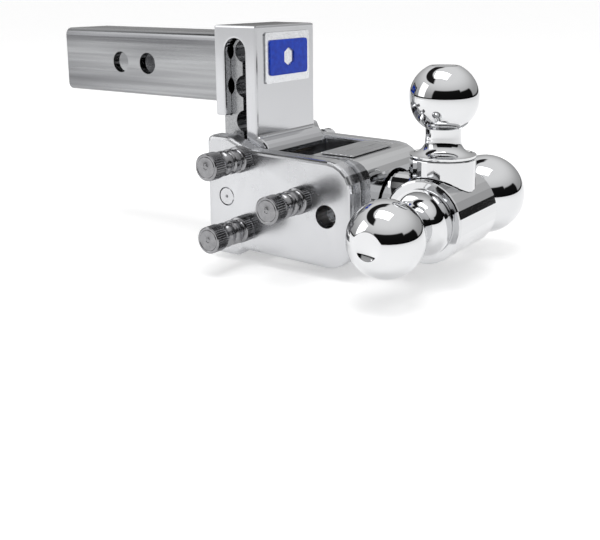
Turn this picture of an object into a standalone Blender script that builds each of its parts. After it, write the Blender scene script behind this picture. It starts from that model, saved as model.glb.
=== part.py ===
"""Adjustable trailer hitch with a three-ball swivel head.

Metres, +Z up.  +X runs from the vehicle end of the shank to the balls.
The model is drawn about the shank's own axis and then moved by the empty
hitch_origin, so that the world origin lies on the shank's underside, right
below the first receiver-pin hole.
"""
import math

import bmesh
import bpy
from mathutils import Matrix, Vector

for ob in list(bpy.data.objects):
    bpy.data.objects.remove(ob, do_unlink=True)

MM = 0.001
GAP = 0.3                       # clearance between neighbouring solids

# ---- driving dimensions, millimetres, about the shank axis ----
SHANK = 50.8                    # 2 inch square shank
SHANK_R = 5.6                   # its corner radius
WALL = 6.35
SHANK_X0 = -171.2
PIN_HOLE_X = (-109.1, -80.1)    # receiver-pin holes
PIN_HOLE_R = 8.3

POST_X0, POST_X1 = -2.4, 35.7   # 1.5 inch deep post
POST_HALF = 36.0
POST_TOP, POST_BOT = 32.0, -125.0
SLOT_X0, SLOT_X1 = 6.9, 25.4
SLOT_TOP = 22.9
FRONT_LEG_BOT = -33.5
RACK_HALF = 29.0                # half width of the notch rack in the slot
RACK_X0, RACK_X1 = 0.1, 17.7
NOTCH_R = 8.2
NOTCH_X = 19.4
RELIEF_X = 2.0
NOTCH_Z0, PITCH = 13.5, 25.4
HEEL_R = 13.0                   # round boss round the upper pin, at the top of the thickened rear leg

PLATE_T = 14.0
PLATE_IN = POST_HALF + GAP      # inner faces of the yoke plates
PLATE_OUT = PLATE_IN + PLATE_T
PIN_X, PIN_Z = 33.5, (-59.9, -110.7)
PIN_R = 6.35                    # 1/2 inch
RIVET_X, RIVET_Z, RIVET_R = 17.6, -89.4, 6.7
AX_Z = -93.0                    # swivel axis of the head
SWP_X, SWP_Z, SWP_R = 84.1, -83.2, 4.76  # swivel retaining pin, 3/8 inch
INDEX_X, INDEX_R = 103.4, 8.2   # index hole

BRIDGE_X0, BRIDGE_X1 = 80.0, 130.0
BRIDGE_TOP, BRIDGE_BOT = -55.0, -128.0
CORE_X0 = 93.0                  # front of the bored block
POCKET_X, POCKET_R = 112.0, 28.0

HEAD_X = 165.2                  # ball plane
DRUM_R, DRUM_HALF = 28.6, 29.0
BALL_NEAR_R, BALL_NEAR_Y = 25.4, -75.9      # 2 inch
BALL_FAR_R, BALL_FAR_Y = 29.37, 73.5        # 2-5/16 inch
BALL_TOP_R, BALL_TOP_Z = 23.81, -13.4       # 1-7/8 inch
NECK_R = 12.4
FLANGE_R = 22.6

KNOB_R = 9.5
KNOB_LEN = 40.2

ORIGIN = (109.1, 0.0, 25.4)     # puts the world origin on the shank's underside

# ---- collections, origin empty, materials ----
scene = bpy.context.scene
hitch = bpy.data.collections.new("trailer_hitch")
cutters = bpy.data.collections.new("cutters")
scene.collection.children.link(hitch)
scene.collection.children.link(cutters)

base = bpy.data.objects.new("hitch_origin", None)
base.location = [c * MM for c in ORIGIN]
hitch.objects.link(base)


def material(name, rgb, rough, metal):
    m = bpy.data.materials.new(name)
    m.use_nodes = True
    b = m.node_tree.nodes["Principled BSDF"]
    b.inputs["Base Color"].default_value = (*rgb, 1.0)
    b.inputs["Roughness"].default_value = rough
    b.inputs["Metallic"].default_value = metal
    m.diffuse_color = (*rgb, 1.0)
    return m


CHROME = material("chrome", (0.80, 0.81, 0.83), 0.06, 1.0)
SATIN = material("satin_chrome", (0.72, 0.73, 0.75), 0.22, 1.0)
MILLED = material("milled_steel", (0.42, 0.43, 0.45), 0.35, 1.0)
STAINLESS = material("stainless", (0.50, 0.51, 0.53), 0.30, 1.0)
BRONZE = material("bronze", (0.62, 0.45, 0.22), 0.35, 1.0)
BRASS = material("brass", (0.75, 0.58, 0.28), 0.30, 1.0)
SILVER = material("badge_silver", (0.86, 0.87, 0.89), 0.20, 0.6)
BLUE = material("badge_blue", (0.02, 0.12, 0.62), 0.25, 0.0)
WHITE_INK = material("plate_steel", (0.66, 0.67, 0.69), 0.35, 1.0)


# ---- helpers ----
def link(ob, mat=None, cutter=False):
    (cutters if cutter else hitch).objects.link(ob)
    ob.parent = base
    if cutter:
        ob.hide_render = True
        ob.display_type = "WIRE"
    if mat:
        ob.data.materials.append(mat)
    return ob


def mesh_object(name, bm, mat=None, cutter=False):
    me = bpy.data.meshes.new(name)
    bmesh.ops.recalc_face_normals(bm, faces=bm.faces)
    bm.to_mesh(me)
    bm.free()
    return link(bpy.data.objects.new(name, me), mat, cutter)


def box(name, lo, hi, mat=None, cutter=False):
    bm = bmesh.new()
    bmesh.ops.create_cube(bm, size=1.0)
    size = [(h - l) * MM for l, h in zip(lo, hi)]
    mid = [(h + l) * 0.5 * MM for l, h in zip(lo, hi)]
    bmesh.ops.scale(bm, vec=size, verts=bm.verts)
    bmesh.ops.translate(bm, vec=mid, verts=bm.verts)
    return mesh_object(name, bm, mat, cutter)


TURN = {"X": Matrix.Rotation(math.pi / 2, 4, "Y"),
        "-X": Matrix.Rotation(-math.pi / 2, 4, "Y"),
        "Y": Matrix.Rotation(-math.pi / 2, 4, "X"),
        "-Y": Matrix.Rotation(math.pi / 2, 4, "X"),
        "Z": Matrix.Identity(4)}


def rod(name, axis, at, a, b, r, mat=None, cutter=False, seg=40):
    """Cylinder of radius r along an axis, from a to b measured on that axis."""
    bm = bmesh.new()
    bmesh.ops.create_cone(bm, cap_ends=True, segments=seg, radius1=r * MM,
                          radius2=r * MM, depth=(b - a) * MM)
    bmesh.ops.transform(bm, matrix=TURN[axis], verts=bm.verts)
    mid = {"X": ((a + b) / 2, at[1], at[2]), "Y": (at[0], (a + b) / 2, at[2]),
           "Z": (at[0], at[1], (a + b) / 2)}[axis]
    bmesh.ops.translate(bm, vec=[c * MM for c in mid], verts=bm.verts)
    return mesh_object(name, bm, mat, cutter)


def turned(name, axis, at, profile, mat, seg=40, cutter=False, smooth=35):
    """Profile of (radius, height) points, top to bottom, turned about an axis."""
    me = bpy.data.meshes.new(name)
    verts = [(r * MM, 0.0, h * MM) for r, h in profile]
    closed = profile[0][0] > 0
    edges = [(i, i + 1) for i in range(len(verts) - 1)]
    if closed:
        edges.append((len(verts) - 1, 0))
    me.from_pydata(verts, edges, [])
    ob = link(bpy.data.objects.new(name, me), mat, cutter)
    sc = ob.modifiers.new("turn", "SCREW")
    sc.steps = seg
    sc.render_steps = seg
    sc.use_merge_vertices = True
    sc.merge_threshold = 0.00001
    sc.use_smooth_shade = True
    apply_mods(ob)
    rot = TURN[axis]
    ob.data.transform(rot)
    ob.data.transform(Matrix.Translation([c * MM for c in at]))
    bm = bmesh.new()
    bm.from_mesh(ob.data)
    bmesh.ops.remove_doubles(bm, verts=bm.verts, dist=0.000005)
    bmesh.ops.recalc_face_normals(bm, faces=bm.faces)
    bm.to_mesh(ob.data)
    bm.free()
    soften(ob, smooth)
    return ob


def soften(ob, angle=35):
    ob.data.shade_smooth()
    ob.data.set_sharp_from_angle(angle=math.radians(angle))


def apply_mods(ob):
    deps = bpy.context.evaluated_depsgraph_get()
    deps.update()
    me = bpy.data.meshes.new_from_object(ob.evaluated_get(deps))
    old = ob.data
    ob.modifiers.clear()
    ob.data = me
    me.name = ob.name
    if old.users == 0:
        bpy.data.meshes.remove(old)


def filleted(points, steps=5):
    """Corner points (x, z, radius) to an outline with round corners."""
    out = []
    n = len(points)
    for i, (x, z, r) in enumerate(points):
        p = Vector((x, z))
        a = Vector(points[i - 1][:2]) - p
        b = Vector(points[(i + 1) % n][:2]) - p
        if r <= 0:
            out.append(p)
            continue
        half = a.angle(b) / 2
        d = r / math.tan(half)
        a.normalize()
        b.normalize()
        c = p + (a + b).normalized() * (r / math.sin(half))
        s, e = p + a * d - c, p + b * d - c
        turn = s.angle(e)
        sign = 1 if s.x * e.y - s.y * e.x > 0 else -1
        for k in range(steps + 1):
            t = sign * turn * k / steps
            out.append(c + Vector((s.x * math.cos(t) - s.y * math.sin(t),
                                   s.x * math.sin(t) + s.y * math.cos(t))))
    return out


def flat(name, outlines, lo, hi, plane, mat=None, cutter=False):
    """Extrude closed outlines between lo and hi across a plane.

    plane "XZ": outline x, z and thickness along Y; "YZ": outline y, z and
    thickness along X.
    """
    cu = bpy.data.curves.new(name, "CURVE")
    cu.dimensions = "2D"
    cu.fill_mode = "BOTH"
    cu.extrude = (hi - lo) / 2 * MM
    for pts in outlines:
        sp = cu.splines.new("POLY")
        sp.points.add(len(pts) - 1)
        for q, p in zip(sp.points, pts):
            q.co = (p[0] * MM, p[1] * MM, 0.0, 1.0)
        sp.use_cyclic_u = True
    tmp = bpy.data.objects.new(name + "_outline", cu)
    cutters.objects.link(tmp)
    deps = bpy.context.evaluated_depsgraph_get()
    deps.update()
    me = bpy.data.meshes.new_from_object(tmp.evaluated_get(deps))
    bpy.data.objects.remove(tmp, do_unlink=True)
    bpy.data.curves.remove(cu)
    mid = (lo + hi) / 2 * MM
    if plane == "XZ":
        m = Matrix(((1, 0, 0, 0), (0, 0, -1, mid), (0, 1, 0, 0), (0, 0, 0, 1)))
    else:
        m = Matrix(((0, 0, 1, mid), (1, 0, 0, 0), (0, 1, 0, 0), (0, 0, 0, 1)))
    me.transform(m)
    bm = bmesh.new()
    bm.from_mesh(me)
    bmesh.ops.remove_doubles(bm, verts=bm.verts, dist=0.000005)
    bmesh.ops.dissolve_limit(bm, angle_limit=0.002, verts=bm.verts, edges=bm.edges)
    bpy.data.meshes.remove(me)
    return mesh_object(name, bm, mat, cutter)


def bevel(ob, width, seg=2, angle=50):
    b = ob.modifiers.new("edges", "BEVEL")
    b.width = width * MM
    b.segments = seg
    b.limit_method = "ANGLE"
    b.angle_limit = math.radians(angle)
    b.use_clamp_overlap = True


def boolean(ob, cutter, op="DIFFERENCE"):
    b = ob.modifiers.new(op.lower(), "BOOLEAN")
    b.operation = op
    b.solver = "EXACT"
    b.object = cutter


def finish(ob, angle=35, pivot=None):
    """Apply the modifiers and put the origin on the piece's own axis."""
    apply_mods(ob)
    bm = bmesh.new()
    bm.from_mesh(ob.data)
    bmesh.ops.remove_doubles(bm, verts=bm.verts, dist=0.000002)
    bm.to_mesh(ob.data)
    bm.free()
    soften(ob, angle)
    if pivot:
        v = Vector([c * MM for c in pivot])
        ob.data.transform(Matrix.Translation(-v))
        ob.location = v
    return ob


def ring(r_out, r_in, h0, h1, ch=0.6):
    """Profile of a plain ring with chamfered outer corners, outer side first."""
    return [(r_out - ch, h1), (r_out, h1 - ch), (r_out, h0 + ch), (r_out - ch, h0),
            (r_in, h0), (r_in, h1)]


def square(side, r):
    h = side / 2
    return filleted([(-h, -h, r), (h, -h, r), (h, h, r), (-h, h, r)], 5)


# ---- receiver shank: square tube with two cross holes ----
shank = flat("shank_tube", [square(SHANK, SHANK_R), square(SHANK - 2 * WALL, 3.0)],
             SHANK_X0, POST_X0 - GAP, "YZ", SATIN)
bevel(shank, 0.8, 1, 60)
for i, x in enumerate(PIN_HOLE_X):
    boolean(shank, rod(f"cut_receiver_pin_{i}", "Y", (x, 0, 0), -40, 40, PIN_HOLE_R, cutter=True, seg=24))
finish(shank)

# ---- post: a hook-shaped forging, slotted from side to side ----
slot_mid = (SLOT_X0 + SLOT_X1) / 2
slot_r = (SLOT_X1 - SLOT_X0) / 2
heel_a0 = math.acos((POST_X1 - PIN_X) / HEEL_R)
post_side = [(POST_X0, FRONT_LEG_BOT), (POST_X0, POST_TOP), (POST_X1, POST_TOP)]
post_side += [(PIN_X + HEEL_R * math.cos(heel_a0 * (1 - k / 6)),
               PIN_Z[0] + HEEL_R * math.sin(heel_a0 * (1 - k / 6))) for k in range(7)]
post_side += [(PIN_X + HEEL_R, POST_BOT), (SLOT_X1, POST_BOT)]
post_side += [(slot_mid + slot_r * math.cos(math.pi * k / 10),
               SLOT_TOP - slot_r + slot_r * math.sin(math.pi * k / 10)) for k in range(11)]
post_side += [(SLOT_X0, FRONT_LEG_BOT)]
post = flat("post_frame", [post_side], -POST_HALF, POST_HALF, "XZ", CHROME)
bevel(post, 1.5, 2, 50)
for i, z in enumerate((PIN_Z[0], PIN_Z[0] - PITCH, PIN_Z[1])):
    boolean(post, rod(f"cut_post_pin_{i}", "Y", (PIN_X, 0, z), -60, 60, PIN_R + GAP, cutter=True, seg=24))
finish(post)

# ---- notch rack in the slot ----
rack_side = [(RACK_X0, POST_BOT), (RACK_X1, POST_BOT), (RACK_X1, SLOT_TOP - 3.0), (RACK_X1 - 4.0, SLOT_TOP - 1.0),
             (SLOT_X0 + 5.0, SLOT_TOP - 2.6), (SLOT_X0 + GAP, SLOT_TOP - 9.0), (SLOT_X0 + GAP, FRONT_LEG_BOT - GAP),
             (RACK_X0, FRONT_LEG_BOT - GAP)]
rack = flat("notch_rack", [rack_side], -RACK_HALF, RACK_HALF, "XZ", MILLED)
for k in range(6):
    z = NOTCH_Z0 - PITCH * k
    boolean(rack, rod(f"cut_notch_{k}", "Y", (NOTCH_X, 0, z), -50, 50, NOTCH_R, cutter=True, seg=24))
    if k < 2:
        boolean(rack, rod(f"cut_relief_{k}", "Y", (RELIEF_X, 0, z), -50, 50, NOTCH_R, cutter=True, seg=24))
finish(rack)

# ---- yoke: two side plates with holes ----
def plate_outline(ear_x, ear_z, ear_r, dip_x, dip_r):
    """Side plate seen from the side: ear at the front top, foot below it."""
    return filleted([(0.0, -132.9, 8.0), (0.0, ear_z, 6.0), (ear_x, ear_z, ear_r), (dip_x, -53.5, dip_r),
                     (124.0, -55.2, 20.0), (124.0, -130.4, 20.0), (33.0, -127.6, 3.0), (26.0, -132.9, 4.0)], 5)



def side_plate(name, lo, hi, sw_r, ear):
    ob = flat(name, [plate_outline(*ear)], lo, hi, "XZ", CHROME)
    bevel(ob, 2.8, 3, 50)
    holes = [(PIN_X, PIN_Z[0], PIN_R + GAP), (PIN_X, PIN_Z[1], PIN_R + GAP),
             (RIVET_X, RIVET_Z, RIVET_R + 0.2), (SWP_X, SWP_Z, sw_r), (INDEX_X, AX_Z, INDEX_R)]
    for i, (x, z, r) in enumerate(holes):
        boolean(ob, rod(f"cut_{name}_{i}", "Y", (x, 0, z), lo - 5, hi + 5, r, cutter=True, seg=24))
    return finish(ob)


side_plate("yoke_plate_near", -PLATE_OUT, -PLATE_IN, SWP_R + GAP, (20.0, -45.4, 18.0, 38.5, 14.0))
side_plate("yoke_plate_far", PLATE_IN, PLATE_OUT, SWP_R + GAP, (29.0, -44.8, 4.0, 33.0, 6.0))

# ---- bridge: the rear block that joins the plates and holds the swivel ----
bridge_outline = filleted([(BRIDGE_X0, BRIDGE_TOP, 2.0), (BRIDGE_X0, -62.0, 2.0), (CORE_X0, -66.0, 2.0),
                           (CORE_X0, BRIDGE_BOT, 5.0), (BRIDGE_X1, BRIDGE_BOT, 14.0),
                           (BRIDGE_X1, BRIDGE_TOP, 14.0)], 5)
bridge = flat("yoke_bridge", [bridge_outline], -PLATE_IN + GAP, PLATE_IN - GAP, "XZ", CHROME)
boolean(bridge, rod("cut_bridge_bore", "X", (0, 0, AX_Z), 70, 140, 22.0, cutter=True, seg=32))
boolean(bridge, rod("cut_bridge_pocket", "X", (0, 0, AX_Z), POCKET_X, 150, POCKET_R, cutter=True, seg=32))
boolean(bridge, rod("cut_bridge_index", "Y", (INDEX_X, 0, AX_Z), -60, 60, INDEX_R + 0.2, cutter=True, seg=24))
bevel(bridge, 1.0, 1, 60)
finish(bridge)

rating = box("rating_plate", (85.0, -29.0, BRIDGE_TOP + GAP), (112.0, 24.0, BRIDGE_TOP + GAP + 1.0), WHITE_INK)
bevel(rating, 0.35, 1, 50)
finish(rating)

# ---- bush and thrust washer of the swivel ----
bush = turned("swivel_bush", "X", (93.6, 0, AX_Z), ring(21.7, 19.3, 0.0, 18.0, 0.5), BRONZE)
boolean(bush, rod("cut_bush_index", "Y", (INDEX_X, 0, AX_Z), -60, 60, INDEX_R + 0.3, cutter=True, seg=24))
finish(bush)
turned("thrust_washer", "X", (112.3, 0, AX_Z), ring(24.8, 19.5, 0.0, 2.0, 0.3), BRONZE)

# ---- cross rivet between the plates ----
rivet = turned("cross_rivet", "Y", (RIVET_X, 0, RIVET_Z),
               [(0, PLATE_OUT), (RIVET_R - 0.8, PLATE_OUT), (RIVET_R, PLATE_OUT - 0.8), (RIVET_R, 36.0),
                (RIVET_R - 1.1, 35.6), (RIVET_R - 1.1, -35.6), (RIVET_R, -36.0), (RIVET_R, -PLATE_OUT + 0.8),
                (RIVET_R - 0.8, -PLATE_OUT), (1.2, -PLATE_OUT), (0, -PLATE_OUT + 1.4)], SATIN, seg=20)

# ---- badge on the post's rear face ----
bx = POST_X1 + GAP
badge = flat("badge_plate", [filleted([(-26.5, -9.5, 2.0), (27.5, -9.5, 2.0), (27.5, 27.0, 2.0), (-26.5, 27.0, 2.0)], 4)],
             bx, bx + 1.0, "YZ", SILVER)
finish(badge)
hexagon = [(0.5 + 7.2 * math.cos(math.radians(60 * k + 30)), 8.8 + 7.2 * math.sin(math.radians(60 * k + 30))) for k in range(6)]
panel = flat("badge_panel", [filleted([(-22.5, -4.0, 2.5), (23.5, -4.0, 2.5), (23.5, 21.5, 2.5), (-22.5, 21.5, 2.5)], 4), hexagon],
             bx + 1.0 + GAP, bx + 1.9 + GAP, "YZ", BLUE)
finish(panel)


# ---- pins with grooved knurled grips, and their barrel locks ----
def knob(end, start):
    """Grip profile from its free end (height end) down to the plate."""
    r = KNOB_R
    L = end
    return [(0, L), (1.3, L), (1.7, L - 0.4), (r - 0.9, L - 0.4), (r, L - 1.3), (r, L - 11.6), (r - 0.7, L - 12.2),
            (7.6, L - 12.8), (7.6, L - 14.6), (8.7, L - 16.0), (8.9, L - 18.0), (8.4, L - 20.2), (7.1, L - 21.0),
            (7.1, L - 22.6), (8.4, L - 23.4), (8.9, L - 25.5), (8.6, L - 28.4), (7.4, L - 30.0), (7.4, L - 31.4),
            (r - 0.6, L - 32.2), (r, L - 32.9), (r, start + 0.8), (r - 0.7, start)]


TAIL = 55.5                     # far end of every pin, from the centre plane


TAIL_R = 3.6                    # stepped-down tail that enters the lock


def pin(name, x, z, body):
    prof = knob(PLATE_OUT + GAP + KNOB_LEN, PLATE_OUT + GAP) + body
    ob = turned(name, "-Y", (x, 0, z), prof, STAINLESS, seg=20)
    ob.data.transform(Matrix.Translation([-c * MM for c in (x, 0, z)]))
    ob.location = [c * MM for c in (x, 0, z)]
    return ob


def straight_body(r):
    return [(r, PLATE_OUT + GAP), (r, -49.8), (r - 0.6, -50.4), (TAIL_R, -50.4), (TAIL_R, -TAIL + 0.6),
            (TAIL_R - 0.6, -TAIL), (0, -TAIL)]


pin("pin_upper", PIN_X, PIN_Z[0], straight_body(PIN_R))
pin("pin_lower", PIN_X, PIN_Z[1], straight_body(PIN_R))
pin("pin_swivel", SWP_X, SWP_Z, straight_body(SWP_R))


def lock(tag, x, z):
    y0 = PLATE_OUT + 0.6
    y1 = y0 + 9.6
    house = [(6.8, y1), (7.4, y1 - 0.6), (7.4, y1 - 2.4), (6.9, y1 - 2.8), (6.9, y0 + 2.6), (7.4, y0 + 2.2), (7.4, y0 + 0.5),
             (6.9, y0), (TAIL_R + GAP, y0), (TAIL_R + GAP, TAIL + 0.3), (4.9, TAIL + 0.4), (4.9, y1)]
    h = turned(f"lock_{tag}_housing", "Y", (x, 0, z), house, CHROME, seg=24)
    h.data.transform(Matrix.Translation([-c * MM for c in (x, 0, z)]))
    h.location = [c * MM for c in (x, 0, z)]
    core = turned(f"lock_{tag}_core", "Y", (x, 0, z),
                  [(0, y1 - 0.2), (4.2, y1 - 0.2), (4.6, y1 - 0.6), (4.6, TAIL + 1.0), (4.2, TAIL + 0.7), (0, TAIL + 0.7)], BRASS, seg=20)
    boolean(core, box(f"cut_key_{tag}", (x - 0.7, y1 - 2.4, z - 3.0), (x + 0.7, y1 + 4.0, z + 3.0), cutter=True))
    finish(core, pivot=(x, 0, z))


lock("upper", PIN_X, PIN_Z[0])
lock("lower", PIN_X, PIN_Z[1])
lock("swivel", SWP_X, SWP_Z)

# ---- swivel head ----
drum_cut = rod("cut_drum", "Y", (HEAD_X, 0, AX_Z), -60, 60, DRUM_R + GAP, cutter=True, seg=40)
spindle = turned("head_spindle", "X", (0, 0, AX_Z),
                 [(0, 150.0), (25.8, 150.0), (25.8, 116.2), (24.4, 114.6), (19.0, 114.6), (19.0, 89.8), (18.4, 89.2),
                  (4.6, 89.2), (4.6, 79.0), (18.4, 79.0), (19.0, 78.4), (19.0, 75.6), (17.8, 74.4), (0, 74.4)],
                 CHROME, seg=32)
boolean(spindle, drum_cut)
boolean(spindle, rod("cut_pedestal_seat", "Z", (HEAD_X, 0, 0), AX_Z, -40, FLANGE_R + GAP, cutter=True, seg=24))
boolean(spindle, rod("cut_spindle_index_y", "Y", (INDEX_X, 0, AX_Z), -60, 60, INDEX_R, cutter=True, seg=24))
boolean(spindle, rod("cut_spindle_index_z", "Z", (INDEX_X, 0, 0), AX_Z - 30, AX_Z + 30, INDEX_R, cutter=True, seg=24))
finish(spindle, pivot=(HEAD_X, 0, AX_Z))

drum = rod("head_drum", "Y", (HEAD_X, 0, AX_Z), -DRUM_HALF, DRUM_HALF, DRUM_R, CHROME, seg=32)
bevel(drum, 1.4, 2, 50)
finish(drum, pivot=(HEAD_X, 0, AX_Z))


def ball(name, axis, at, r, c, foot, top_cut, seg=32):
    """Ball centred at height c on a waisted neck and flange that ends at foot."""
    a0 = math.acos(min(1.0, top_cut / r))
    a1 = math.pi - math.asin(NECK_R / r)
    prof = [(0, c + top_cut)]
    n = 11
    for k in range(n + 1):
        a = a0 + (a1 - a0) * k / n
        prof.append((r * math.sin(a), c + r * math.cos(a)))
    base_z = c - math.sqrt(r * r - NECK_R * NECK_R)
    h = base_z - (foot + 2.0)
    waist = max(1.0, h - (FLANGE_R - NECK_R) * 0.9)
    prof.append((NECK_R, base_z - waist * 0.9))
    rem = (base_z - waist) - (foot + 2.0)
    for k in range(1, 5):
        t = math.pi / 2 * k / 4
        prof.append((NECK_R + (FLANGE_R - NECK_R) * (1 - math.cos(t)), base_z - waist - rem * math.sin(t) * 1.0))
    prof += [(FLANGE_R, foot + 0.5), (FLANGE_R - 0.5, foot), (0, foot)]
    ob = turned(name, axis, at, prof, CHROME, seg=seg)
    return finish(ob, pivot=(HEAD_X, 0, AX_Z))


ball("ball_near", "-Y", (HEAD_X, 0, AX_Z), BALL_NEAR_R, -BALL_NEAR_Y, DRUM_HALF + GAP, BALL_NEAR_R - 2.1)
ball("ball_far", "Y", (HEAD_X, 0, AX_Z), BALL_FAR_R, BALL_FAR_Y, DRUM_HALF + GAP, BALL_FAR_R - 2.0)
ball("ball_top", "Z", (HEAD_X, 0, 0), BALL_TOP_R, BALL_TOP_Z, -53.2, 21.6)

pedestal = rod("top_pedestal", "Z", (HEAD_X, 0, 0), AX_Z, -53.5, FLANGE_R, CHROME, seg=32)
boolean(pedestal, drum_cut)
bevel(pedestal, 0.6, 2, 60)
finish(pedestal, pivot=(HEAD_X, 0, AX_Z))
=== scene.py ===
import math

import bmesh
import bpy
from mathutils import Matrix, Vector


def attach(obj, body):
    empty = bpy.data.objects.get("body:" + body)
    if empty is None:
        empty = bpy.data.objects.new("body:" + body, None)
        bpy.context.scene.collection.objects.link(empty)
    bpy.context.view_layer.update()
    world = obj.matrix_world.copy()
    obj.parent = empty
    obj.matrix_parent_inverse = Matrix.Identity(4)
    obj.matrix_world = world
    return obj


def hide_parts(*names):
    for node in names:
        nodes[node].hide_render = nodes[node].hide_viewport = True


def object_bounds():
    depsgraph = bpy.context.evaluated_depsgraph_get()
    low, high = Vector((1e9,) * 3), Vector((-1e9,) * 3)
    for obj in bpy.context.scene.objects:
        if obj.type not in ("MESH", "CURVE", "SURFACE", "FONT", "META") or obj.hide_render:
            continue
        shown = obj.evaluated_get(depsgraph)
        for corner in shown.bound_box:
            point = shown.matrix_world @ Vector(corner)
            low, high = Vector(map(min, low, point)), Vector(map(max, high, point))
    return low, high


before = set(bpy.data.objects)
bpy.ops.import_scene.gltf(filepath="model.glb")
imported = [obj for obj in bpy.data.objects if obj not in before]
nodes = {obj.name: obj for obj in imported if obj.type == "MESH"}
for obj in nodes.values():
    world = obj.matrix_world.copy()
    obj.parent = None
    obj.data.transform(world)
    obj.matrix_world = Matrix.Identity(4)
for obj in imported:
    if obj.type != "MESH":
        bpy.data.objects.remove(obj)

MM = 0.001
ORIGIN = Vector((109.1, 0.0, 25.4))      # from the shank axis frame to the row frame, mm

lo0, hi0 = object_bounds()
scene = bpy.context.scene


def row(x, y, z):
    return (Vector((x, y, z)) + ORIGIN) * MM


# ------------------------------------------------------------------ camera
cam_data = bpy.data.cameras.new("camera")
cam = bpy.data.objects.new("camera", cam_data)
scene.collection.objects.link(cam)
scene.camera = cam
AZ, PITCH = math.radians(32.4773), math.radians(12.0)
fwd = Vector((-math.sin(AZ) * math.cos(PITCH), math.cos(AZ) * math.cos(PITCH), -math.sin(PITCH)))
cam.location = row(433.61, -544.79, 60.64)
cam.rotation_mode = "QUATERNION"
cam.rotation_quaternion = fwd.to_track_quat("-Z", "Y")
cam_data.sensor_width = 36.0
cam_data.lens = 909.0 / 600.0 * 36.0
cam_data.shift_x = -0.0748
cam_data.shift_y = -0.1543
cam_data.clip_start, cam_data.clip_end = 0.02, 60.0


# --------------------------------------------------------------- materials
class Mat:
    """Small helper for node materials."""

    def __init__(self, name, rgb, metal, rough, **sockets):
        self.m = bpy.data.materials.new(name)
        self.m.use_nodes = True
        self.t = self.m.node_tree
        self.b = self.t.nodes["Principled BSDF"]
        self.b.inputs["Base Color"].default_value = (*rgb, 1)
        self.b.inputs["Metallic"].default_value = metal
        self.b.inputs["Roughness"].default_value = rough
        for k, v in sockets.items():
            self.b.inputs[k.replace("_", " ")].default_value = v
        self.tc = self.t.nodes.new("ShaderNodeTexCoord")

    def node(self, kind, **props):
        n = self.t.nodes.new(kind)
        for k, v in props.items():
            setattr(n, k, v)
        return n

    def coords(self, scale, rot=(0, 0, 0)):
        mp = self.node("ShaderNodeMapping")
        mp.inputs["Scale"].default_value = scale
        mp.inputs["Rotation"].default_value = rot
        self.t.links.new(self.tc.outputs["Object"], mp.inputs["Vector"])
        return mp.outputs["Vector"]

    def noise(self, scale, detail=3.0, rough=0.55, vec=None):
        n = self.node("ShaderNodeTexNoise")
        n.inputs["Scale"].default_value = scale
        n.inputs["Detail"].default_value = detail
        n.inputs["Roughness"].default_value = rough
        self.t.links.new(vec or self.tc.outputs["Object"], n.inputs["Vector"])
        return n.outputs["Fac"]

    def ramp(self, fac, stops):
        r = self.node("ShaderNodeValToRGB")
        e = r.color_ramp.elements
        while len(e) < len(stops):
            e.new(0.5)
        for i, (p, c) in enumerate(stops):
            e[i].position = p
            e[i].color = (c, c, c, 1) if isinstance(c, (int, float)) else (*c, 1)
        self.t.links.new(fac, r.inputs["Fac"])
        return r.outputs["Color"]

    def range(self, fac, a, b, lo, hi):
        n = self.node("ShaderNodeMapRange")
        n.inputs["From Min"].default_value = a
        n.inputs["From Max"].default_value = b
        n.inputs["To Min"].default_value = lo
        n.inputs["To Max"].default_value = hi
        self.t.links.new(fac, n.inputs["Value"])
        return n.outputs["Result"]

    def edges(self):
        g = self.node("ShaderNodeNewGeometry")
        return g.outputs["Pointiness"]

    def mix(self, fac, a, b):
        n = self.node("ShaderNodeMix", data_type="RGBA")
        self.t.links.new(fac, n.inputs[0])
        for sock, v in ((n.inputs[6], a), (n.inputs[7], b)):
            if isinstance(v, tuple):
                sock.default_value = (*v, 1)
            else:
                self.t.links.new(v, sock)
        return n.outputs[2]

    def set(self, name, sock):
        self.t.links.new(sock, self.b.inputs[name])

    def bump(self, height, strength, dist, prev=None):
        n = self.node("ShaderNodeBump")
        n.inputs["Strength"].default_value = strength
        n.inputs["Distance"].default_value = dist
        self.t.links.new(height, n.inputs["Height"])
        if prev:
            self.t.links.new(prev, n.inputs["Normal"])
        return n.outputs["Normal"]


def chrome(name, rgb=(0.86, 0.87, 0.885), rough=0.045, wave=0.06, grain=0.012):
    m = Mat(name, rgb, 1.0, rough)
    smear = m.noise(34.0, 4.0)
    m.set("Roughness", m.range(smear, 0.3, 0.7, rough * 0.8, rough * 1.5))
    # painted highlight: base colour made lighter on convex edges, where the chrome catches light
    painted_edge_highlight = m.range(m.edges(), 0.53, 0.66, 0.0, 1.0)
    tone = m.ramp(m.noise(9.0, 2.0), [(0.3, tuple(c * 0.97 for c in rgb)), (0.7, rgb)])
    m.set("Base Color", m.mix(painted_edge_highlight, tone, tuple(min(1.0, c * 1.12) for c in rgb)))
    n1 = m.bump(m.noise(18.0, 1.0), wave, 0.0008)
    m.set("Normal", m.bump(m.noise(700.0, 2.0), grain, 0.00005, n1))
    return m.m


def brushed(name, rgb, rough, stretch, amount=0.12, dark=0.8, wave=0.02):
    m = Mat(name, rgb, 1.0, rough)
    streak = m.noise(1.0, 5.0, 0.6, m.coords(stretch))
    m.set("Roughness", m.range(streak, 0.3, 0.7, rough * 0.75, rough * 1.35))
    m.set("Base Color", m.ramp(streak, [(0.3, tuple(c * dark for c in rgb)), (0.7, rgb)]))
    m.set("Normal", m.bump(streak, amount, 0.0002))
    return m.m


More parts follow.
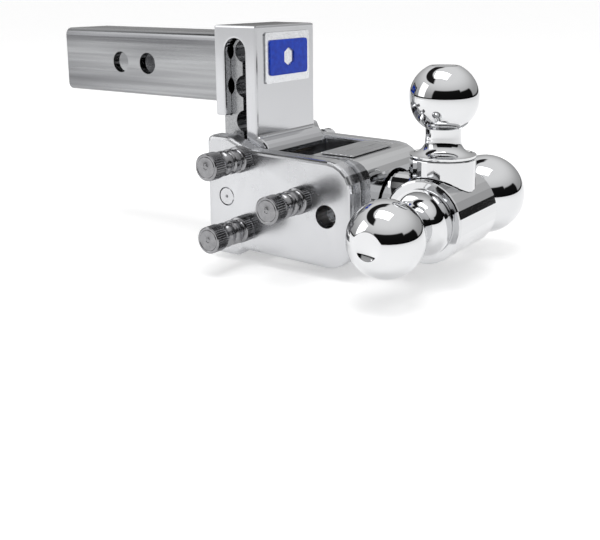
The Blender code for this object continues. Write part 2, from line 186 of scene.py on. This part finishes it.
CHROME = chrome("chrome_polished", (0.64, 0.645, 0.655), 0.05, 0.02)
SATIN = chrome("chrome_satin", (0.55, 0.555, 0.57), 0.21, 0.003, 0.002)
POST = chrome("chrome_post", (0.53, 0.535, 0.55), 0.10, 0.004, 0.004)
BALL = chrome("chrome_ball", (0.68, 0.685, 0.695), 0.03, 0.012)
SHANK = brushed("shank_brushed", (0.40, 0.405, 0.415), 0.22, (6, 420, 420), 0.06, 0.70)
RACK = brushed("rack_milled", (0.42, 0.425, 0.435), 0.26, (420, 30, 420), 0.25, 0.65)
PLATE = brushed("label_plate", (0.50, 0.505, 0.515), 0.34, (700, 40, 700), 0.15, 0.8)
STEEL = brushed("pin_steel", (0.30, 0.30, 0.31), 0.20, (300, 300, 300), 0.05, 0.75)
BRASS = brushed("key_brass", (0.70, 0.52, 0.24), 0.28, (300, 60, 300), 0.15, 0.8)
BRONZE = brushed("bush_bronze", (0.55, 0.38, 0.18), 0.35, (60, 400, 400), 0.15, 0.75)

silver = Mat("badge_silver", (0.80, 0.81, 0.83), 0.85, 0.22)
silver.set("Roughness", silver.range(silver.noise(600.0, 3.0), 0.3, 0.7, 0.16, 0.30))
silver.set("Normal", silver.bump(silver.noise(1500.0, 2.0), 0.06, 0.0001))
blue = Mat("badge_blue", (0.004, 0.05, 0.55), 0.0, 0.30, Specular_IOR_Level=0.25)
blue.set("Base Color", blue.ramp(blue.noise(260.0, 4.0), [(0.35, (0.002, 0.040, 0.48)), (0.65, (0.004, 0.060, 0.62))]))
blue.set("Normal", blue.bump(blue.noise(1200.0, 2.0), 0.05, 0.0001))

ASSIGN = {
    "shank_tube": SHANK, "post_frame": POST, "notch_rack": RACK, "yoke_plate_near": SATIN, "yoke_plate_far": SATIN,
    "yoke_bridge": CHROME, "swivel_bush": BRONZE, "thrust_washer": BRONZE, "cross_rivet": SATIN, "rating_plate": PLATE,
    "badge_plate": silver.m, "badge_panel": blue.m, "head_spindle": CHROME, "head_drum": CHROME, "top_pedestal": CHROME,
    "lock_upper_core": BRASS, "lock_lower_core": BRASS, "lock_swivel_core": BRASS,
    "lock_upper_housing": CHROME, "lock_lower_housing": CHROME, "lock_swivel_housing": CHROME,
}
for name, mat in ASSIGN.items():
    ob = nodes[name]
    ob.data.materials.clear()
    ob.data.materials.append(mat)


# ruled lines pressed into the label plate, and broad bands of painted reflection and shade on the shank
def lines(mat, axis_rot, spacing, depth):
    t = mat.node_tree
    b = t.nodes["Principled BSDF"]
    tco = t.nodes.new("ShaderNodeTexCoord")
    w = t.nodes.new("ShaderNodeTexWave")
    w.bands_direction = axis_rot
    w.inputs["Scale"].default_value = 0.314 / spacing
    w.inputs["Distortion"].default_value = 0.0
    t.links.new(tco.outputs["Object"], w.inputs["Vector"])
    bp = t.nodes.new("ShaderNodeBump")
    bp.inputs["Strength"].default_value = 0.5
    bp.inputs["Distance"].default_value = depth
    t.links.new(w.outputs["Fac"], bp.inputs["Height"])
    old = b.inputs["Normal"].links[0].from_socket
    t.links.new(old, bp.inputs["Normal"])
    t.links.new(bp.outputs["Normal"], b.inputs["Normal"])


lines(PLATE, "X", 0.0040, 0.0006)

# painted reflection and shade: broad light and dark bands along the shank, multiplied into its colour
st = SHANK.node_tree
sb = st.nodes["Principled BSDF"]
stc = st.nodes.new("ShaderNodeTexCoord")
smp = st.nodes.new("ShaderNodeMapping")
smp.inputs["Scale"].default_value = (3, 60, 60)
sno = st.nodes.new("ShaderNodeTexNoise")
sno.inputs["Scale"].default_value = 1.0
sno.inputs["Detail"].default_value = 2.0
srp = st.nodes.new("ShaderNodeValToRGB")
srp.color_ramp.elements[0].position = 0.38
srp.color_ramp.elements[0].color = (0.55, 0.55, 0.56, 1)
srp.color_ramp.elements[1].position = 0.62
srp.color_ramp.elements[1].color = (1.15, 1.15, 1.15, 1)
smx = st.nodes.new("ShaderNodeMix")
smx.data_type = "RGBA"
smx.blend_type = "MULTIPLY"
smx.inputs[0].default_value = 1.0
st.links.new(stc.outputs["Object"], smp.inputs["Vector"])
st.links.new(smp.outputs["Vector"], sno.inputs["Vector"])
st.links.new(sno.outputs["Fac"], srp.inputs["Fac"])
st.links.new(sb.inputs["Base Color"].links[0].from_socket, smx.inputs[6])
st.links.new(srp.outputs["Color"], smx.inputs[7])
st.links.new(smx.outputs[2], sb.inputs["Base Color"])


# ------------------------------------------------------------ finer pieces
def add(name, bm, mat, body, angle=40):
    me = bpy.data.meshes.new(name)
    bmesh.ops.recalc_face_normals(bm, faces=bm.faces)
    bm.to_mesh(me)
    bm.free()
    me.materials.append(mat)
    ob = bpy.data.objects.new(name, me)
    scene.collection.objects.link(ob)
    me.shade_smooth()
    me.set_sharp_from_angle(angle=math.radians(angle))
    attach(ob, body)
    return ob


AXES = {"-Y": Matrix.Rotation(math.pi / 2, 4, "X"), "Y": Matrix.Rotation(-math.pi / 2, 4, "X"), "Z": Matrix.Identity(4)}


def lathe(profile, axis, at, seg, knurls=()):
    """Turned solid; knurls are (low, high, teeth, depth) bands in which the radius is cut by teeth."""
    bm = bmesh.new()
    rings = []
    for r, h in profile:
        if r <= 1e-6:
            rings.append([bm.verts.new((0, 0, h * MM))])
            continue
        ring = []
        for k in range(seg):
            a = 2 * math.pi * k / seg
            rr = r
            for lo, hi, teeth, depth in knurls:
                if lo <= h <= hi:
                    rr -= depth * (0.5 - 0.5 * math.cos(a * teeth))
            ring.append(bm.verts.new((rr * math.cos(a) * MM, rr * math.sin(a) * MM, h * MM)))
        rings.append(ring)
    for p, q in zip(rings, rings[1:]):
        if len(p) == 1 and len(q) == 1:
            continue
        for k in range(seg):
            j = (k + 1) % seg
            if len(p) == 1:
                bm.faces.new((p[0], q[k], q[j]))
            elif len(q) == 1:
                bm.faces.new((p[k], q[0], p[j]))
            else:
                bm.faces.new((p[k], q[k], q[j], p[j]))
    bm.transform(Matrix.Translation(row(*at)) @ AXES[axis])
    return bm


AX_Z, HEAD_X = -93.0, 165.2
PLATE_OUT = 50.3
KL = 40.2


def pin_profile(r_body):
    """Grip, knurled at both ends with two grooved waists, and the shank of the pin."""
    L = PLATE_OUT + 0.3 + KL
    s = PLATE_OUT + 0.3
    p = [(0, L - 0.5), (1.2, L - 0.5), (1.6, L - 0.05), (2.6, L - 0.4), (7.0, L - 0.4), (7.3, L - 0.7), (7.7, L - 0.45), (8.6, L - 0.45), (9.3, L - 1.0)]
    p += [(9.45, L - 1.4 - 0.85 * k) for k in range(12)]
    p += [(9.0, L - 11.4), (8.7, L - 12.0), (7.75, L - 12.6), (7.62, L - 13.4), (7.65, L - 14.4), (7.95, L - 15.3), (8.5, L - 16.1),
          (8.8, L - 16.8), (8.88, L - 18.0), (8.8, L - 19.2), (8.4, L - 20.1), (7.4, L - 20.9), (7.15, L - 21.4), (7.15, L - 22.4),
          (7.5, L - 22.9), (8.4, L - 23.5), (8.8, L - 24.4), (8.9, L - 25.6), (8.85, L - 27.0), (8.6, L - 28.3), (8.0, L - 29.4),
          (7.45, L - 30.1), (7.42, L - 31.2), (7.8, L - 31.8), (8.9, L - 32.2), (9.3, L - 32.5)]
    n = 9
    p += [(9.45, L - 32.9 - (L - 32.9 - s - 0.7) * k / n) for k in range(n + 1)]
    p += [(8.9, s + 0.2), (8.6, s + 0.02), (r_body, s + 0.02)]
    p += [(r_body, -49.8), (r_body - 0.6, -50.38), (3.58, -50.38), (3.58, -54.9), (3.0, -55.48), (0, -55.48)]
    return p, [(L - 10.9, L - 1.3, 34, 0.85), (s + 0.6, L - 32.8, 34, 0.85)]


def make_pin(node, body, x, z, r_body):
    prof, kn = pin_profile(r_body)
    bm = lathe(prof, "-Y", (x, 0, z), 34 * 6, kn)
    ob = add(node + "_fine", bm, STEEL, body, 30)
    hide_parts(node)


make_pin("pin_upper", "upper_pin", 33.5, -59.9, 6.3)
make_pin("pin_lower", "lower_pin", 33.5, -110.7, 6.3)
make_pin("pin_swivel", "swivel_pin", 84.1, -83.2, 4.7)


def ball_profile(r, c, foot, top_cut, flange=22.6, neck=12.4, mark=True):
    a0 = math.acos(top_cut / r)
    a1 = math.pi - math.asin(neck / r)
    flat_r = r * math.sin(a0)
    p = [(0, c + top_cut - 0.25)]
    p += [(flat_r - 2.4, c + top_cut - 0.25), (flat_r - 2.1, c + top_cut - 0.05), (flat_r - 0.6, c + top_cut - 0.05)]
    n = 72
    for k in range(n + 1):
        a = a0 + (a1 - a0) * k / n
        rr = r - 0.14
        p.append((rr * math.sin(a), c + rr * math.cos(a)))
    base_z = c - math.sqrt(r * r - neck * neck)
    h = base_z - (foot + 2.0)
    waist = max(1.0, h - (flange - neck) * 0.9)
    rem = (base_z - waist) - (foot + 2.0)
    for k in range(1, 6):
        t = k / 5
        p.append((neck - 0.25 * math.sin(math.pi * t) - 0.02, base_z - waist * 0.9 * t))
    for k in range(1, 15):
        t = math.pi / 2 * k / 14
        p.append((neck + (flange - neck) * (1 - math.cos(t)) - 0.02, base_z - waist - rem * math.sin(t)))
    p += [(flange - 0.02, foot + 1.4), (flange - 0.05, foot + 0.8), (flange - 0.3, foot + 0.3), (flange - 0.8, foot + 0.02), (0, foot + 0.02)]
    return p


def make_ball(node, axis, at, r, c, foot, top_cut, flange=22.6, neck=12.4):
    bm = lathe(ball_profile(r, c, foot, top_cut, flange, neck), axis, at, 128)
    ob = add(node + "_fine", bm, BALL, "swivel_head", 40)
    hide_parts(node)


make_ball("ball_near", "-Y", (HEAD_X, 0, AX_Z), 25.4, 75.9, 29.3, 23.3)
make_ball("ball_far", "Y", (HEAD_X, 0, AX_Z), 29.37, 73.5, 29.3, 27.37)
make_ball("ball_top", "Z", (HEAD_X, 0, 0), 23.81, -13.4, -53.2, 21.6)


# --------------------------------------------------------- floor and light
def stage_plane(name, size, loc, rot, mat):
    bm = bmesh.new()
    bmesh.ops.create_grid(bm, x_segments=1, y_segments=1, size=0.5)
    bmesh.ops.scale(bm, vec=(size[0], size[1], 1), verts=bm.verts)
    me = bpy.data.meshes.new(name)
    bm.to_mesh(me)
    bm.free()
    me.materials.append(mat)
    ob = bpy.data.objects.new(name, me)
    ob.location = loc
    ob.rotation_euler = rot
    scene.collection.objects.link(ob)
    return ob


floor_m = Mat("floor_pale", (0.93, 0.93, 0.93), 0.0, 0.6, Emission_Color=(1, 1, 1, 1), Emission_Strength=0.36)
floor_m.set("Roughness", floor_m.range(floor_m.noise(3.0, 2.0), 0.3, 0.7, 0.55, 0.65))
stage_plane("floor", (70, 70), (0.15, 0, lo0.z - 0.004), (0, 0, 0), floor_m.m)

world = bpy.data.worlds.new("studio")
scene.world = world
world.use_nodes = True
wt = world.node_tree
bg = wt.nodes["Background"]
tc = wt.nodes.new("ShaderNodeTexCoord")
sep = wt.nodes.new("ShaderNodeSeparateXYZ")
wt.links.new(tc.outputs["Generated"], sep.inputs["Vector"])


def wmath(op, a, b=None, c=None):
    n = wt.nodes.new("ShaderNodeMath")
    n.operation = op
    for sock, v in zip(n.inputs, (a, b, c)):
        if v is None:
            continue
        if isinstance(v, (int, float)):
            sock.default_value = v
        else:
            wt.links.new(v, sock)
    return n.outputs[0]


def step(x, a, b):
    n = wt.nodes.new("ShaderNodeMapRange")
    n.interpolation_type = "SMOOTHSTEP"
    n.inputs["From Min"].default_value = a
    n.inputs["From Max"].default_value = b
    wt.links.new(x, n.inputs["Value"])
    return n.outputs["Result"]


X, Y, Z = sep.outputs["X"], sep.outputs["Y"], sep.outputs["Z"]
# a grey dome, brighter overhead, with a thin dark line on the horizon
dome = wmath("ADD", wmath("MULTIPLY", step(Z, 0.05, 0.9), 0.55), 0.40)
dome = wmath("MULTIPLY", dome, wmath("ADD", wmath("MULTIPLY", step(Z, 0.035, 0.07), 0.95), 0.05))
# a black flag low in one quarter and a narrow one opposite it
toward = wmath("ADD", wmath("MULTIPLY", X, 0.60), wmath("MULTIPLY", Y, -0.80))
flag = wmath("MULTIPLY", step(toward, 0.60, 0.66), wmath("SUBTRACT", 1.0, step(Z, 0.44, 0.50)))
side = wmath("ADD", wmath("MULTIPLY", X, 0.97), wmath("MULTIPLY", Y, 0.24))
flag2 = wmath("MULTIPLY", step(side, 0.86, 0.90), wmath("SUBTRACT", 1.0, step(Z, 0.34, 0.40)))
both = wmath("MAXIMUM", flag, flag2)
strip = wmath("MULTIPLY", step(Z, 0.70, 0.73), wmath("SUBTRACT", 1.0, step(Z, 0.87, 0.90)))
strip = wmath("MULTIPLY", strip, wmath("SUBTRACT", 1.0, step(X, -0.30, -0.20)))
both = wmath("MAXIMUM", both, strip)
light = wmath("MULTIPLY", dome, wmath("SUBTRACT", 1.0, wmath("MULTIPLY", both, 0.985)))
wt.links.new(light, bg.inputs["Strength"])
bg.inputs["Color"].default_value = (1.0, 1.0, 1.0, 1.0)


def area(name, loc, aim, size, power):
    d = bpy.data.lights.new(name, "AREA")
    d.shape = "RECTANGLE"
    d.size, d.size_y = size
    d.energy = power
    o = bpy.data.objects.new(name, d)
    o.location = loc
    o.rotation_mode = "QUATERNION"
    o.rotation_quaternion = (Vector(aim) - Vector(loc)).to_track_quat("-Z", "Y")
    scene.collection.objects.link(o)


aim = (0.19, 0, -0.02)
area("softbox_top", (0.2, -0.2, 1.5), aim, (1.0, 0.7), 8)
area("softbox_left", (-1.2, -1.1, 0.7), aim, (0.9, 1.2), 5)


scene.view_settings.view_transform = "Standard"
